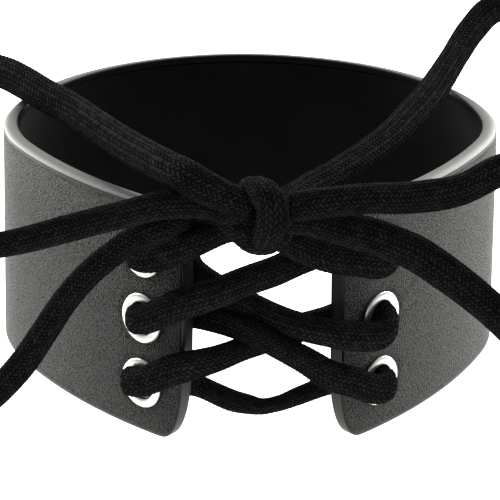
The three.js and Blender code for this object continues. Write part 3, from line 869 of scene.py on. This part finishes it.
def make_eyelets(material):
    profile = eyelet_profile()
    angle = np.linspace(0, 2 * math.pi, EYELET_SIDES, endpoint=False)
    ring, turn = np.arange(len(profile))[:, None], np.arange(EYELET_SIDES)[None]
    start, after = ring * EYELET_SIDES, (ring + 1) % len(profile) * EYELET_SIDES
    next_turn = (turn + 1) % EYELET_SIDES
    corners = (start + turn, after + turn, after + next_turn, start + next_turn)
    faces = np.stack(corners, 2).reshape(-1, 4).tolist()
    for side, row in EYELETS:
        centre = wall_point(side, EYELET_FROM_END, -row * EYELET_PITCH, 0)
        normal = wall_normal(side, EYELET_FROM_END)
        across = unit(np.cross((0, 0, 1), normal))
        up = np.cross(normal, across)
        circle = np.cos(angle)[:, None] * across + np.sin(angle)[:, None] * up
        points = np.vstack([centre + radius * circle + height * normal for radius, height in profile])
        name = f"eyelet_{SIDE_NAMES[side]}_{ROW_NAMES[row]}"
        make_piece(name + "_nickel", points, faces, material, [name])


def through_eyelet(side, row, front_rise, back_rise, over=0.4):
    """Axis points of the lace through one eyelet, from over the flange, through the hole, to behind the end.

    over says how near the free end the lace turns down into the hole.
    """
    z = -row * EYELET_PITCH

    def at(nearer, up, out):
        return (*wall_point(side, EYELET_FROM_END - nearer, z + up, out), EYELET_LACE)

    return [
        at(4.8, front_rise, OUT_BEND),
        at(2.2, front_rise * 0.6, OUT_BEND - 0.3),
        at(over, front_rise / 4, OUT_BEND - 1.7),
        at(-0.6, 0, 0.2),
        at(-0.6, 0, -BAND_WALL / 2),
        at(-0.3, 0, -BAND_WALL - 0.4),
        at(0.8, back_rise / 3, IN_BEND + 1.3),
        at(4.6, back_rise, IN_BEND),
    ]


def sized_strand(rows, across, closed):
    """Strand for lace_piece from rows of x, y, z and width. The lace is thinner where it is drawn narrow."""
    rows = curve_points(rows, LACE_STEP, closed)
    line, widths = rows[:, :3], rows[:, 3]
    return line, np.broadcast_to(across, line.shape), widths, np.minimum(LACE_THICKNESS, widths), closed


def make_lacing(material):
    route = [
        *KNOT_TO_LEFT_TOP,
        *through_eyelet(-1, -1, 1.2, -1.2),
        *LEFT_TOP_TO_RIGHT_MIDDLE,
        *through_eyelet(1, 0, -1.6, -0.6),
        *RIGHT_MIDDLE_TO_LEFT_BOTTOM,
        *through_eyelet(-1, 1, 3.4, -0.6, -0.8),
        *LEFT_BOTTOM_TO_RIGHT_BOTTOM,
        *through_eyelet(1, 1, 0.8, -0.6)[::-1],
        *RIGHT_BOTTOM_TO_LEFT_MIDDLE,
        *through_eyelet(-1, 0, 2.6, 0.4)[::-1],
        *LEFT_MIDDLE_TO_RIGHT_TOP,
        *through_eyelet(1, -1, -0.4, 0.4)[::-1],
        *RIGHT_TOP_TO_KNOT,
    ]
    lace_piece("lacing_braid", [sized_strand(route, (0.0, 0.0, 1.0), False)], material, ["lacing"])


def make_knot(material):
    strands = [
        sized_strand(KNOT_WRAP, (1.0, 0.0, 0.0), True),
        sized_strand(KNOT_UNDER, (0.0, 0.3, 1.0), False),
        sized_strand(KNOT_INSIDE, (0.0, 0.3, 1.0), False),
    ]
    lace_piece("bow_knot_braid", strands, material, ["bow_knot"])


def add_light(name, place, size, power):
    """A soft light, aimed at the collar."""
    data = bpy.data.lights.new(name, "AREA")
    data.shape = "RECTANGLE"
    data.size, data.size_y = size
    data.energy = power
    data.color = LIGHT_COLOR
    light = bpy.data.objects.new(name, data)
    light.location = place
    light.rotation_mode = "QUATERNION"
    light.rotation_quaternion = (-Vector(place)).to_track_quat("-Z", "Y")
    bpy.context.scene.collection.objects.link(light)


def make_studio():
    mesh = bpy.data.meshes.new("floor")
    corners = [(x * FLOOR_REACH, y * FLOOR_REACH, FLOOR_Z) for x, y in ((-1, -1), (1, -1), (1, 1), (-1, 1))]
    mesh.from_pydata(corners, [], [(0, 1, 2, 3)])
    mesh.materials.append(floor_material())
    floor = bpy.data.objects.new("floor", mesh)
    bpy.context.scene.collection.objects.link(floor)
    world = bpy.data.worlds.new("studio")
    world.use_nodes = True
    world.node_tree.nodes["Background"].inputs["Color"].default_value = (1, 1, 1, 1)
    world.node_tree.nodes["Background"].inputs["Strength"].default_value = WORLD_STRENGTH
    bpy.context.scene.world = world
    for light in LIGHTS:
        add_light(*light)
    bpy.context.scene.view_settings.view_transform = "Standard"


TOWARD_FRONT = tuple(place_camera())

lace = braid_material()
free_lace("bow_loop_left", LOOP_LEFT, LOOP_LEFT_SIZES, "object", lace)
free_lace("bow_loop_right", LOOP_RIGHT, LOOP_RIGHT_SIZES, "object", lace)
free_lace("lace_end_left", END_LEFT, END_LEFT_SIZES, "bare", lace)
free_lace("lace_end_right", END_RIGHT, END_RIGHT_SIZES, "bare", lace)
make_lacing(lace)
make_knot(lace)
make_band(leather_material())
make_lining(lining_material())
make_eyelets(metal_material())
make_studio()
